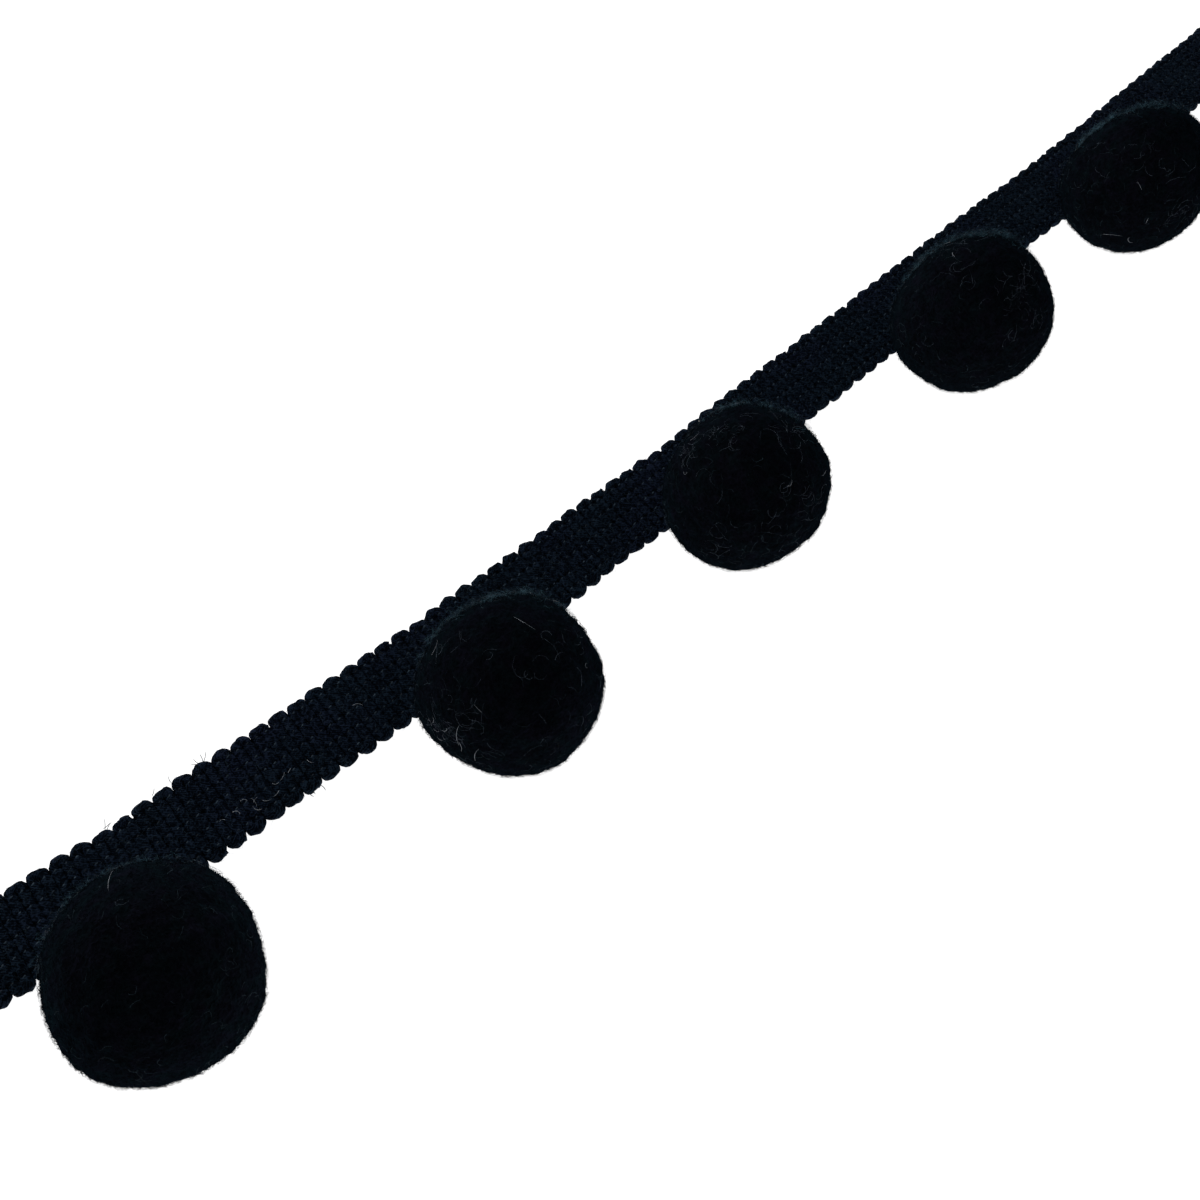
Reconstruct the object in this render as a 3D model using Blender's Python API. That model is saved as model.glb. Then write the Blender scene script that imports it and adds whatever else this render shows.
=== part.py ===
"""Pompom fringe trim: a woven tape with scalloped edges and a row of round cut-pile pompoms.

Run it with: blender --background --python part.py
Metres, +Z up. The trim lies on the plane z = 0. +X runs along it, +Y points to its plain edge,
and the pompoms sit on its -Y edge. The origin is under the middle of the trim's bounding box.
"""
import math
import random
from collections import namedtuple

import bmesh
import bpy
from mathutils import Vector

MM = 0.001

# ---- Tape: driving dimensions ---------------------------------------------------------------
TAPE_WIDTH = 12.6 * MM            # across the tape, to the middle of the scallops
TAPE_THICKNESS = 1.8 * MM         # at the crest of the ribs along both edges
BAND_THICKNESS = 1.6 * MM         # at the crest of the ribs in the bound middle band
RIB_DEPTH = 0.55 * MM             # how far the top dips between two ribs
SCALLOP_COUNT = 97                # turns of the weft along one edge; each turn is two ribs
SCALLOP_DEPTH = 0.7 * MM          # from a notch to the tip of a scallop
EDGE_ROUND = 0.75 * MM            # height of the roundest point of an edge loop
EDGE_TUCK = 0.55 * MM             # how far the flat underside stops short of the edge
MARGIN_WIDTH = 1.9 * MM           # plain looped margin outside the bound band

# Where the tape's centre line runs. The near end lifts a little off the surface.
RouteStop = namedtuple("RouteStop", "along across lift")
ROUTE_MM = [
    RouteStop(along=-147.0, across=12.9, lift=6.2),
    RouteStop(along=-119.0, across=11.0, lift=4.2),
    RouteStop(along=-94.0, across=9.9, lift=2.6),
    RouteStop(along=-69.0, across=8.8, lift=1.4),
    RouteStop(along=-44.0, across=8.2, lift=0.4),
    RouteStop(along=-19.0, across=7.8, lift=0.0),
    RouteStop(along=6.0, across=7.6, lift=0.0),
    RouteStop(along=37.0, across=7.5, lift=0.0),
    RouteStop(along=62.0, across=7.6, lift=0.0),
    RouteStop(along=87.0, across=7.2, lift=0.0),
    RouteStop(along=112.0, across=7.8, lift=0.0),
    RouteStop(along=147.2, across=8.7, lift=0.0),
]

# ---- Pompoms: driving dimensions ------------------------------------------------------------
LOCKS_PER_SIDE = 3                # locks along each side of the six-sided layout: 54 a pompom
LOCK_LENGTH = 4.0 * MM            # how far the locks stand apart, from the tip down
ROOT_GAP = 0.3 * MM               # between two locks at their roots
TIP_DROOP = 0.4 * MM              # how much lower a lock's corners are than its crown
TRIM_SPREAD = 0.015               # uneven trimming, as a share of the radius
CELL_SPREAD = 0.11                # uneven widths of the locks, as a share of one lock
FLAT_SPOT = 0.25 * MM             # how far the lowest lock is shortened to rest level
SEAT_GAP = 0.35 * MM              # between a pompom and the tape's edge that it leans on

Pompom = namedtuple("Pompom", "along radius turn seed")
POMPOMS_MM = [
    Pompom(along=-116.6, radius=13.3, turn=12, seed=11),
    Pompom(along=-59.9, radius=12.9, turn=47, seed=12),
    Pompom(along=-13.0, radius=12.6, turn=71, seed=13),
    Pompom(along=39.2, radius=13.1, turn=28, seed=14),
    Pompom(along=85.6, radius=12.7, turn=60, seed=15),
]

# ---- Colours (linear) -----------------------------------------------------------------------
YARN_COLOUR = (0.0040, 0.0055, 0.0110, 1.0)
PILE_COLOUR = (0.0020, 0.0028, 0.0040, 1.0)


def clear_scene():
    """Start from an empty scene."""
    for item in list(bpy.data.objects):
        bpy.data.objects.remove(item, do_unlink=True)


def plain_material(name, colour, roughness):
    """A Principled material with one colour."""
    material = bpy.data.materials.new(name)
    material.use_nodes = True
    shader = material.node_tree.nodes["Principled BSDF"]
    shader.inputs["Base Color"].default_value = colour
    shader.inputs["Roughness"].default_value = roughness
    shader.inputs["Metallic"].default_value = 0.0
    material.diffuse_color = colour
    return material


def add_object(name, mesh, material, collection):
    """Put a mesh in the collection as a named object with its material."""
    mesh.materials.append(material)
    mesh.shade_smooth()
    item = bpy.data.objects.new(name, mesh)
    collection.objects.link(item)
    return item


# ---- The tape's route -----------------------------------------------------------------------
def smooth_step_between(before, start, end, after, share):
    """A point on the Catmull-Rom curve from start to end, at share 0 to 1."""
    linear = (end - before) * share
    square = (2 * before - 5 * start + 4 * end - after) * share ** 2
    cube = (3 * start - before - 3 * end + after) * share ** 3
    return start + 0.5 * (linear + square + cube)


def route_points(steps_per_span=24):
    """Points close together along the centre line of the tape's underside."""
    stops = [Vector(stop) * MM for stop in ROUTE_MM]
    stops = [2 * stops[0] - stops[1]] + stops + [2 * stops[-1] - stops[-2]]
    points = []
    for before, start, end, after in zip(stops, stops[1:], stops[2:], stops[3:]):
        for step in range(steps_per_span):
            point = smooth_step_between(before, start, end, after, step / steps_per_span)
            point.z = max(point.z, 0.0)
            points.append(point)
    points.append(stops[-2])
    return points


def evenly_along(points, count):
    """Split the route into count equal lengths: a list of (point, side, up) frames."""
    reach = [0.0]
    for start, end in zip(points, points[1:]):
        reach.append(reach[-1] + (end - start).length)
    frames = []
    span = 0
    for index in range(count + 1):
        distance = reach[-1] * index / count
        while span < len(points) - 2 and reach[span + 1] < distance:
            span += 1
        start, end = points[span], points[span + 1]
        share = (distance - reach[span]) / (reach[span + 1] - reach[span])
        ahead = (end - start).normalized()
        side = Vector((0, 0, 1)).cross(ahead).normalized()
        frames.append((start.lerp(end, share), side, ahead.cross(side)))
    return frames


# ---- The tape -------------------------------------------------------------------------------
def tape_section(scallop_turn):
    """Outline (across, height) of the tape, at a place in the weft's turn: 0 to 1 is one scallop.

    At 0 a scallop stands out on the +Y edge, at 1/2 on the -Y edge, and at 1/4 and 3/4 the weft
    crosses the tape as a rib.
    """
    swing = math.cos(2 * math.pi * scallop_turn)
    between_ribs = abs(swing)
    plus_edge = TAPE_WIDTH / 2 + SCALLOP_DEPTH / 2 * swing
    minus_edge = TAPE_WIDTH / 2 - SCALLOP_DEPTH / 2 * swing
    band_top = BAND_THICKNESS - RIB_DEPTH * between_ribs
    plus_top = TAPE_THICKNESS - RIB_DEPTH * max(0.0, -swing)
    minus_top = TAPE_THICKNESS - RIB_DEPTH * max(0.0, swing)
    band_half = TAPE_WIDTH / 2 - MARGIN_WIDTH
    return [
        (-minus_edge + EDGE_TUCK, 0.0),
        (plus_edge - EDGE_TUCK, 0.0),
        (plus_edge, EDGE_ROUND),
        (plus_edge - EDGE_ROUND, plus_top),
        (band_half, band_top),
        (0.0, band_top),
        (-band_half, band_top),
        (-minus_edge + EDGE_ROUND, minus_top),
        (-minus_edge, EDGE_ROUND),
    ]


def loft(rings):
    """Join rings of points, each with the same count, into one closed mesh."""
    shape = bmesh.new()
    loops = [[shape.verts.new(point) for point in ring] for ring in rings]
    for here, there in zip(loops, loops[1:]):
        for index, corner in enumerate(here):
            following = (index + 1) % len(here)
            shape.faces.new((corner, here[following], there[following], there[index]))
    shape.faces.new(list(reversed(loops[0])))
    shape.faces.new(loops[-1])
    bmesh.ops.recalc_face_normals(shape, faces=shape.faces[:])
    mesh = bpy.data.meshes.new("tape")
    shape.to_mesh(mesh)
    shape.free()
    return mesh


def tape_rings():
    """The tape's outline at every rib and every dip between two ribs."""
    stations_per_scallop = 4
    frames = evenly_along(route_points(), SCALLOP_COUNT * stations_per_scallop)
    rings = []
    for index, (point, side, up) in enumerate(frames):
        outline = tape_section(index / stations_per_scallop)
        rings.append([point + side * across + up * height for across, height in outline])
    return rings


# ---- The pompoms ----------------------------------------------------------------------------
def seat_across(along, radius, height):
    """Y of a pompom's centre, where it leans on the tape's edge with its seat gap.

    The tape's part nearest to the pompom is the highest part of a -Y scallop's tip. A lock's
    flank lies a little inside the pompom's radius.
    """
    nearest = min(route_points(), key=lambda point: abs(point.x - along))
    edge = nearest.y - TAPE_WIDTH / 2 - SCALLOP_DEPTH / 2 + EDGE_ROUND
    drop = height - (nearest.z + TAPE_THICKNESS)
    flank = radius * (1 - TRIM_SPREAD / 2) - TIP_DROOP / 2
    return edge - math.sqrt((flank + SEAT_GAP) ** 2 - drop ** 2)


def ball_of_locks(radius, height, seed):
    """A core with locks that stand apart, wedge-shaped and crowned, level under the ball."""
    chance = random.Random(seed)
    core = radius - LOCK_LENGTH
    cell = math.pi / 2 / LOCKS_PER_SIDE
    shape = bmesh.new()
    bmesh.ops.create_cube(shape, size=2.0)
    bmesh.ops.subdivide_edges(shape, edges=shape.edges[:], cuts=LOCKS_PER_SIDE - 1, use_grid_fill=True)
    for corner in shape.verts:
        direction = Vector([math.tan(part * math.pi / 4) for part in corner.co]).normalized()
        shift = Vector([chance.uniform(-1, 1) for _ in range(3)]) * cell * CELL_SPREAD
        corner.co = (direction + shift).normalized() * core
    feet = shape.faces[:]
    bmesh.ops.inset_individual(shape, faces=feet, thickness=ROOT_GAP / 2, use_even_offset=True)
    tips = bmesh.ops.extrude_discrete_faces(shape, faces=feet)["faces"]
    lowest = min(tips, key=lambda tip: tip.calc_center_median().z)
    for tip in tips:
        crown_lock(shape, tip, radius * (1 + chance.uniform(-TRIM_SPREAD, 0)), -height, tip is lowest)
    mesh = bpy.data.meshes.new("pompom")
    shape.to_mesh(mesh)
    shape.free()
    return mesh


def crown_lock(shape, tip, reach, floor, is_lowest):
    """Split a lock's tip in four, raise its crown, and keep it level with the floor."""
    middle = tip.calc_center_median().normalized()
    corner_angle = max(middle.angle(corner.co) for corner in tip.verts)
    split = bmesh.ops.subdivide_edges(shape, edges=tip.edges[:], cuts=1, use_grid_fill=True)
    quarters = [item for item in split["geom_inner"] if isinstance(item, bmesh.types.BMFace)] + [tip]
    for point in {corner for quarter in quarters for corner in quarter.verts}:
        angle = middle.angle(point.co)
        droop = TIP_DROOP * (angle / corner_angle) ** 2
        point.co = point.co.normalized() * (reach - droop)
        if is_lowest or point.co.z < floor:
            point.co.z = floor


def add_pompoms(material, collection):
    """One pompom for each row of the table, resting on the plane z = 0."""
    for number, row in enumerate(POMPOMS_MM, start=1):
        radius = row.radius * MM
        height = radius - FLAT_SPOT
        mesh = ball_of_locks(radius, height, row.seed)
        item = add_object(f"pompom_{number}", mesh, material, collection)
        along = row.along * MM
        item.location = (along, seat_across(along, radius, height), height)
        item.rotation_euler = (0, 0, math.radians(row.turn))


def build():
    clear_scene()
    collection = bpy.data.collections.new("pompom_fringe_trim")
    bpy.context.scene.collection.children.link(collection)
    yarn = plain_material("tape_yarn", YARN_COLOUR, 0.75)
    pile = plain_material("pompom_pile", PILE_COLOUR, 0.95)
    add_object("tape", loft(tape_rings()), yarn, collection)
    add_pompoms(pile, collection)


build()
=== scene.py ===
# %% [markdown]
# # A pompom fringe trim, piece by piece
#
# The trim is a narrow woven tape with scalloped edges and five round cut-pile pompoms along one
# edge. Its solids, at real size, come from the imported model: one solid for the tape and one for
# each pompom. This script dresses them. It lays the tape's yarn, threads and loose hairs, and
# grows the pompoms' pile, in the place that the solids hold.
#
# Lengths are in metres, +Z is up, +X runs along the trim and the pompoms sit on its -Y edge.

# %% Load the measured frame
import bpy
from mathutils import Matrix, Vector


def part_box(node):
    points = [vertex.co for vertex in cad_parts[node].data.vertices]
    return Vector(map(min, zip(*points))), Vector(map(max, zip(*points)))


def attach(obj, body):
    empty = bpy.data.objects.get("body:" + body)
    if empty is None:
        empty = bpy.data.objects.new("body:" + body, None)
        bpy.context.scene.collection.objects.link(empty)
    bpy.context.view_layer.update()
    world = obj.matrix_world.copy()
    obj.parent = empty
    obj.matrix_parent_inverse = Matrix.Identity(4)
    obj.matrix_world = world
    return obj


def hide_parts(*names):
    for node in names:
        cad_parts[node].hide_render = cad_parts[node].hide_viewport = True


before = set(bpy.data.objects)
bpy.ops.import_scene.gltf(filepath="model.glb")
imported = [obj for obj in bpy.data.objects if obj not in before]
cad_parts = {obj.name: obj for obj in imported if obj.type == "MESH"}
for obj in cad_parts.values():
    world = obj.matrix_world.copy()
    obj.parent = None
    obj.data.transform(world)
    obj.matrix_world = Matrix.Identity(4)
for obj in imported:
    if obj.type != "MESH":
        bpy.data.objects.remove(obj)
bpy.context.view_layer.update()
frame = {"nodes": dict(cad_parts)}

import math

import bpy
from mathutils import Matrix, Vector

MM = 0.001
UP = Vector((0, 0, 1))
WHITE = (1.0, 1.0, 1.0, 1.0)
BALLS = sorted(name for name in frame["nodes"] if name.startswith("pompom"))
print("pieces in the frame:", ", ".join(frame["nodes"]))

# %% [markdown]
# ## Nodes written as plain Python
#
# Everything soft here is grown by Geometry Nodes and coloured by shader nodes. Placing nodes one
# line at a time is long to read, so a small class wraps a node's output and gives it Python's
# operators. `1 - mask * 0.5` then adds its two Math nodes by itself, and where one side is a
# vector it adds Vector Math instead, because a plain Math node would keep only one number of it.

# %% Find a socket, and feed it
def pick(sockets, key):
    """The socket with this name, or at this place, among those that are in use."""
    shown = [socket for socket in sockets if socket.enabled]
    return shown[key] if isinstance(key, int) else next(s for s in shown if s.name == key)


def feed(socket, value):
    """Link a signal to a socket, or give the socket a plain value."""
    if isinstance(value, Signal):
        socket.id_data.links.new(value.socket, socket)
    elif socket.type == "VECTOR" and isinstance(value, (int, float)):
        socket.default_value = (value,) * 3
    else:
        socket.default_value = value


def feed_all(node, values):
    """Feed several sockets of one node, by their names or places."""
    for key, value in values.items():
        feed(pick(node.inputs, key), value)


print("a socket takes a link or a plain value")


# %% One class for a node's output
def operators(operation):
    """A Python operator that adds a maths node, and the form for a plain number on its left."""
    return (lambda self, value: self.maths(operation, self, value),
            lambda self, value: self.maths(operation, value, self))


class Signal:
    """What a node puts out. Operators on it add the maths nodes."""

    def __init__(self, socket):
        self.socket = socket

    def other(self, name):
        """Another output of the same node."""
        return Signal(pick(self.socket.node.outputs, name))

    def axis(self, name):
        """The X, Y or Z of a vector."""
        return Bench(self.socket.id_data).add("ShaderNodeSeparateXYZ", {}, {"Vector": self}, name)

    def maths(self, operation, *parts):
        """One maths node for these parts, or Vector Math where one of them is a vector."""
        vector = any(isinstance(p, Signal) and p.socket.type in ("VECTOR", "RGBA") for p in parts)
        kind = "ShaderNodeVectorMath" if vector else "ShaderNodeMath"
        return Bench(self.socket.id_data).add(kind, {"operation": operation}, dict(enumerate(parts)))

    __add__, __radd__ = operators("ADD")
    __sub__, __rsub__ = operators("SUBTRACT")
    __mul__, __rmul__ = operators("MULTIPLY")
    __truediv__, __rtruediv__ = operators("DIVIDE")
    __pow__, __rpow__ = operators("POWER")
    __mod__, __rmod__ = operators("FLOORED_MODULO")

    def call(self, operation, *parts):
        """Any other operation of the maths node, such as sin or a cross product."""
        return self.maths(operation, self, *parts)

    def clamped(self):
        return self.call("MAXIMUM", 0.0).call("MINIMUM", 1.0)


print("a node's output now takes + - * / ** and %")


# %% One class for a tree that is being put together
class Bench:
    """A node tree being put together."""

    def __init__(self, tree):
        self.tree = tree

    def add(self, kind, settings=None, inputs=None, output=0):
        """Add a node, then its settings, then what its sockets get. Gives back one output."""
        node = self.tree.nodes.new(kind)
        for name, value in (settings or {}).items():
            setattr(node, name, value)
        feed_all(node, inputs or {})
        return Signal(pick(node.outputs, output)) if node.outputs else None

    def point(self, x=0.0, y=0.0, z=0.0):
        """A vector from three numbers or signals."""
        return self.add("ShaderNodeCombineXYZ", {}, {"X": x, "Y": y, "Z": z})

    def noise(self, where, scale, detail=2.0, output="Fac"):
        """Noise from 0 to 1 around 0.5, or its three-number form with output Color."""
        return self.add("ShaderNodeTexNoise", {}, {"Vector": where, "Scale": scale, "Detail": detail}, output)


print("nodes are added, set and linked by one method")

# %% [markdown]
# ## Geometry Nodes recipes
#
# A recipe is a tree with named inputs. It runs on a guide, such as the line that the tape
# follows, and what it grows is turned into a plain mesh straight away, because the finished
# model keeps no modifiers. The inputs are set by their sockets' identifiers, since their names
# are only labels.

# %% Start a recipe, and close it
SOCKET_KINDS = {int: "NodeSocketInt", float: "NodeSocketFloat", tuple: "NodeSocketVector"}


def start_recipe(name, sizes):
    """A new tree. sizes names its inputs with their usual values."""
    tree = bpy.data.node_groups.new(name, "GeometryNodeTree")
    tree.interface.new_socket("Geometry", in_out="OUTPUT", socket_type="NodeSocketGeometry")
    tree.interface.new_socket("Geometry", in_out="INPUT", socket_type="NodeSocketGeometry")
    for label, value in sizes.items():
        socket = tree.interface.new_socket(label, in_out="INPUT", socket_type=SOCKET_KINDS[type(value)])
        socket.default_value = value
    bench = Bench(tree)
    given = bench.add("NodeGroupInput").socket.node
    print(f"recipe {name}: {', '.join(sizes)}")
    return bench, {socket.name: Signal(socket) for socket in given.outputs if socket.name}


def close_recipe(bench, geometry, material):
    """End a tree with smooth faces, real geometry and one material."""
    smooth = bench.add("GeometryNodeSetShadeSmooth", {}, {"Geometry": geometry})
    real = bench.add("GeometryNodeRealizeInstances", {}, {"Geometry": smooth})
    done = bench.add("GeometryNodeSetMaterial", {}, {"Geometry": real, "Material": material})
    bench.add("NodeGroupOutput", {}, {"Geometry": done})
    return bench.tree


print("inputs of a recipe:", ", ".join(kind.__name__ for kind in SOCKET_KINDS))


# %% Run a recipe
def in_scene(name, data):
    """A new object in the scene."""
    thing = bpy.data.objects.new(name, data)
    bpy.context.scene.collection.objects.link(thing)
    return thing


def run_recipe(name, tree, guide_mesh, sizes=None):
    """Grow a tree on a guide and keep the result as a plain mesh object at the origin."""
    piece = in_scene(name, guide_mesh)
    modifier = piece.modifiers.new("recipe", "NODES")
    modifier.node_group = tree
    for item in tree.interface.items_tree:
        if item.in_out == "INPUT" and item.name in (sizes or {}):
            modifier[item.identifier] = sizes[item.name]
    seen = piece.evaluated_get(bpy.context.evaluated_depsgraph_get())
    mesh = bpy.data.meshes.new_from_object(seen)
    piece.modifiers.remove(modifier)
    piece.data = mesh
    mesh.name = name
    finish = next(material for material in mesh.materials if material)
    mesh.materials.clear()
    mesh.materials.append(finish)
    mesh.polygons.foreach_set("material_index", [0] * len(mesh.polygons))
    mesh.calc_loop_triangles()
    print(f"{name}: {len(mesh.loop_triangles)} triangles")
    return piece


# %% Nodes that move points, and that mark them
BOARD_CLEARANCE = 0.03 * MM
FIBRE_CLEARANCE = 0.05 * MM


def position(bench):
    """Where each point of a geometry is."""
    return bench.add("GeometryNodeInputPosition")


def moved(bench, geometry, offset):
    return bench.add("GeometryNodeSetPosition", {}, {"Geometry": geometry, "Offset": offset})


def placed(bench, geometry, place):
    return bench.add("GeometryNodeSetPosition", {}, {"Geometry": geometry, "Position": place})


def above_board(bench, geometry, clearance):
    """Lift what would sink into the board up to just above it."""
    lift = (clearance - position(bench).axis("Z")).call("MAXIMUM", 0.0)
    return moved(bench, geometry, bench.point(z=lift))


def store(bench, geometry, name, value):
    """Keep a number or a vector on the points of a geometry."""
    kind = "FLOAT_VECTOR" if value.socket.type == "VECTOR" else "FLOAT"
    return bench.add("GeometryNodeStoreNamedAttribute", {"data_type": kind, "domain": "POINT"}, {
        "Geometry": geometry, "Name": name, "Value": value})


def stored(bench, name, kind="FLOAT"):
    return bench.add("GeometryNodeInputNamedAttribute", {"data_type": kind}, {"Name": name})


print(f"yarn stays {BOARD_CLEARANCE / MM:.2f} mm and fibres {FIBRE_CLEARANCE / MM:.2f} mm above the board")


# %% Nodes for curves, and for what is swept along them
HAIR_SIDES = 3
LINT_SIDES = 4


def as_curve(bench, mesh):
    return bench.add("GeometryNodeMeshToCurve", {}, {"Mesh": mesh})


def straight(bench, count):
    """A straight curve with this many points."""
    line = bench.add("GeometryNodeCurvePrimitiveLine")
    return bench.add("GeometryNodeResampleCurve", {}, {"Curve": line, "Count": count})


def upright(bench, curve):
    """A curve whose normal points up, so that what is swept along it doesn't roll."""
    return bench.add("GeometryNodeSetCurveNormal", {"mode": "Z_UP"}, {"Curve": curve})


def circle(bench, corners, radius):
    return bench.add("GeometryNodeCurvePrimitiveCircle", {}, {"Resolution": corners, "Radius": radius})


def sweep(bench, curve, profile, scale=1.0):
    """A profile swept along a curve, with closed ends."""
    return bench.add("GeometryNodeCurveToMesh", {}, {
        "Curve": curve, "Profile Curve": profile, "Scale": scale, "Fill Caps": True})


print(f"hairs and threads have {HAIR_SIDES} sides, and lint has {LINT_SIDES}")

# %% [markdown]
# ## Camera
#
# The trim is seen from above its near end, looking along it, with the camera turned a little
# about its own axis. Four values say this better than a rotation matrix: where the camera
# stands, what it aims at, its turn and its lens.

# %% Stand the camera
CAMERA_PLACE = Vector((-94.68, -55.35, 159.65)) * MM
CAMERA_AIM = Vector((-37.74, -0.21, 0.0)) * MM
CAMERA_TURN = math.radians(-3.99)
CAMERA_LENS = 34.616
CAMERA_SENSOR = 36.0


def stand_camera():
    data = bpy.data.cameras.new("camera")
    data.lens = CAMERA_LENS
    data.sensor_width = CAMERA_SENSOR
    data.clip_start = 0.01
    data.clip_end = 20.0
    camera = in_scene("camera", data)
    ahead = (CAMERA_AIM - CAMERA_PLACE).normalized()
    right = ahead.cross(UP).normalized()
    right = Matrix.Rotation(CAMERA_TURN, 3, ahead) @ right
    above = right.cross(ahead)
    camera.matrix_world = Matrix((right, above, -ahead)).transposed().to_4x4()
    camera.location = CAMERA_PLACE
    bpy.context.scene.camera = camera
    print("camera right", [round(x, 4) for x in right], "up", [round(x, 4) for x in above])


stand_camera()

# %% [markdown]
# ## Surface and light
#
# The trim lies on a white board that glows softly, as for a catalogue, so the board is white to
# its edge and shadows hardly show. The room round it is bright at the level of the board and
# dim overhead, like a tent with a dark roof, and brighter past the far end of the trim than on
# the camera's side. Yarn that is dyed nearly black then keeps a dark crown and gets paler rims.
# One soft lamp behind the plain edge of the tape picks out single fibres.

# %% Lay the board, paint the room and hang the lamp
BOARD_HALF = 3.0
BOARD_COLOUR = (0.85, 0.85, 0.85, 1.0)
BOARD_GLOW = 1.0
ROOM_OVERHEAD = 0.10
ROOM_LEVEL = 1.0
FAR_SIDE = (0.72, 0.69, 0.0)
FAR_SIDE_GAIN = 0.35
LAMP_PLACE = Vector((-0.12, 0.55, 0.42))
LAMP_SIDE = 0.45
LAMP_POWER = 1.6


def lay_board():
    mesh = bpy.data.meshes.new("board")
    corners = [(x * BOARD_HALF, y * BOARD_HALF, 0.0) for x, y in ((-1, -1), (1, -1), (1, 1), (-1, 1))]
    mesh.from_pydata(corners, [], [(0, 1, 2, 3)])
    material = bpy.data.materials.new("board")
    material.use_nodes = True
    feed_all(material.node_tree.nodes["Principled BSDF"], {
        "Base Color": BOARD_COLOUR, "Roughness": 0.9, "Specular IOR Level": 0.0,
        "Emission Color": WHITE, "Emission Strength": BOARD_GLOW})
    mesh.materials.append(material)
    in_scene("board", mesh)


def paint_room():
    """A world that is bright at the horizon and dim overhead."""
    world = bpy.data.worlds.new("room")
    world.use_nodes = True
    bench = Bench(world.node_tree)
    ahead = bench.add("ShaderNodeTexCoord", output="Generated")
    glow = ROOM_OVERHEAD + (ROOM_LEVEL - ROOM_OVERHEAD) * (1.0 - ahead.axis("Z").clamped()) ** 3.0
    glow = glow * (1.0 + FAR_SIDE_GAIN * ahead.call("DOT_PRODUCT", FAR_SIDE))
    feed_all(world.node_tree.nodes["Background"], {"Strength": glow, "Color": WHITE})
    bpy.context.scene.world = world
    bpy.context.scene.view_settings.view_transform = "Standard"


def hang_lamp():
    data = bpy.data.lights.new("lamp", "AREA")
    data.shape = "SQUARE"
    data.size = LAMP_SIDE
    data.energy = LAMP_POWER
    lamp = in_scene("lamp", data)
    lamp.location = LAMP_PLACE
    lamp.rotation_euler = (-LAMP_PLACE).to_track_quat("-Z", "Y").to_euler()


lay_board()
paint_room()
hang_lamp()
print("white board, a room that is dim overhead, and one lamp")

# %% [markdown]
# ## Finishes
#
# All of the trim is dyed nearly black, so what tells the pieces apart is how their fibres take
# the light. The tape's yarn is navy and matt, with filaments running round it along its twist
# and stray fibres across them. The binding threads are smoother and catch small points of light.
# The pile swallows light. It is flecked with teal and violet, and shade is painted on it low on
# the far pompoms. Hairs come in four tones: loose ones of the yarn's own colour, teal ones where
# a pompom is rubbed, painted paler for the light that shines through them, pale curls, and nearly
# white lint. Along each hair the tone changes partly at random, and its pale stretches are
# painted highlights where a fibre would catch the light.

# %% A plain start for every finish
FIBRE_BUMP = 0.06 * MM


def new_finish(name, roughness, specular, sheen=0.0, sheen_tint=WHITE):
    """A material with its constant values set, its bench, its shader, and places on the object."""
    material = bpy.data.materials.new(name)
    material.use_nodes = True
    shader = material.node_tree.nodes["Principled BSDF"]
    feed_all(shader, {
        "Roughness": roughness, "Specular IOR Level": specular, "Sheen Weight": sheen,
        "Sheen Roughness": 0.5, "Sheen Tint": sheen_tint})
    print("finish:", name)
    bench = Bench(material.node_tree)
    return material, bench, shader, bench.add("ShaderNodeTexCoord", output="Object")


def between(bench, share, dark, light):
    """A colour between two, by a share from 0 to 1. Either may be a signal or three numbers."""
    ends = [end if isinstance(end, Signal) else (*end, 1.0) for end in (dark, light)]
    return bench.add("ShaderNodeMix", {"data_type": "RGBA"}, {"Factor": share, "A": ends[0], "B": ends[1]})


def tangle(bench, place, scale, thin):
    """Thin pale lines that wander and cross, where a noise passes through its middle value."""
    return (1.0 - (bench.noise(place, scale, 1.0) - 0.5).call("ABSOLUTE") * thin).clamped()


def raised(bench, shader, height):
    """Give the finish a bump that is as deep as a fibre."""
    bump = bench.add("ShaderNodeBump", {}, {"Strength": 1.0, "Distance": FIBRE_BUMP, "Height": height})
    feed(shader.inputs["Normal"], bump)


print(f"fibres stand out by {FIBRE_BUMP / MM:.2f} mm")


# %% Yarn of the tape
YARN_DARK = (0.0008, 0.0026, 0.0058)
YARN_TEAL = (0.0142, 0.0270, 0.0465)
YARN_VIOLET = (0.0170, 0.0245, 0.0540)
FILAMENTS = 12


def make_yarn():
    material, bench, shader, place = new_finish("twisted_yarn", 0.8, 0.02)
    where = bench.add("ShaderNodeAttribute", {"attribute_name": "round"}, output="Vector")
    angle = where.axis("X").call("ARCTAN2", where.axis("Y"))
    reach = bench.add("ShaderNodeAttribute", {"attribute_name": "reach"}, output="Fac") / MM
    wander = bench.noise(place, 900.0, 2.0) - 0.5
    filament = 0.5 + 0.5 * (angle * FILAMENTS + wander * 9.0).call("SINE")
    fray = bench.noise(where * 3.0 + bench.point(z=reach * 0.6), 1.6, 3.0)
    stray = tangle(bench, place, 1100.0, 14.0) + tangle(bench, place + 0.3, 1900.0, 9.0) * 0.7
    strands = filament * 0.42 + fray * 0.5 + stray * 0.55 - 0.16
    dye = bench.noise(place, 160.0, 3.0) - 0.5
    tone = (strands * 2.0 - 0.85 + dye * 0.7).clamped()
    hue = (bench.noise(place + 0.7, 90.0, 2.0) * 3.0 - 1.25).clamped()
    light = between(bench, hue, YARN_TEAL, YARN_VIOLET)
    feed(shader.inputs["Base Color"], between(bench, tone, YARN_DARK, light))
    raised(bench, shader, strands)
    return material


yarn = make_yarn()

# %% Binding thread
THREAD_DARK = (0.006, 0.013, 0.024)
THREAD_LIGHT = (0.065, 0.105, 0.150)


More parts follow.
